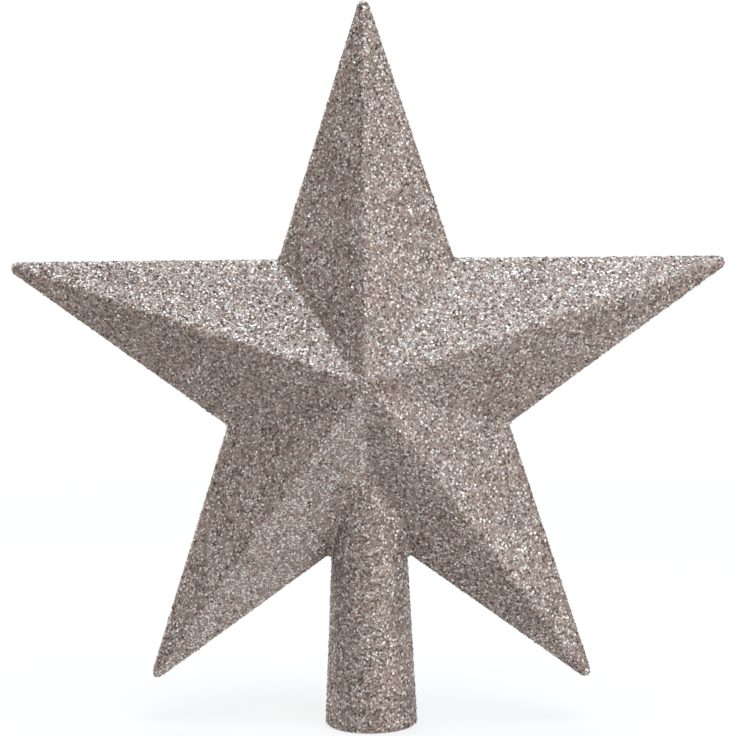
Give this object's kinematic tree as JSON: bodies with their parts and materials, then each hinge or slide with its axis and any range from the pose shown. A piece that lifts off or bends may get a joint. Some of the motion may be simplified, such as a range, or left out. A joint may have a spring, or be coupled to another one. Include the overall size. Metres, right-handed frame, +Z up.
{
  "type": "christmas tree topper star",
  "caption": "Faceted five-pointed star tree topper in champagne glitter, hollow moulded halves with a tapered round socket that slips over the top shoot of a tree.",
  "frame": {"origin": "middle of the socket's open mouth, which is the lowest plane of the part", "axes": "+Z up along the socket to the top point of the star, front face towards -Y, +X to the right seen from the front"},
  "size_m": [0.1862, 0.042, 0.19],
  "materials": {
    "moulded_plastic": "injection-moulded polystyrene, dusty rose, satin",
    "cement": "clear solvent cement, cured",
    "adhesive": "sprayed tinted adhesive, semi-gloss",
    "glitter": "metallised film flakes, champagne, sparkling"
  },
  "bodies": {
    "root": {"front_shell": "moulded_plastic", "rear_shell": "moulded_plastic", "seam_cement": "cement", "adhesive_coat": "adhesive", "glitter_layer": "glitter"}
  },
  "joints": []
}
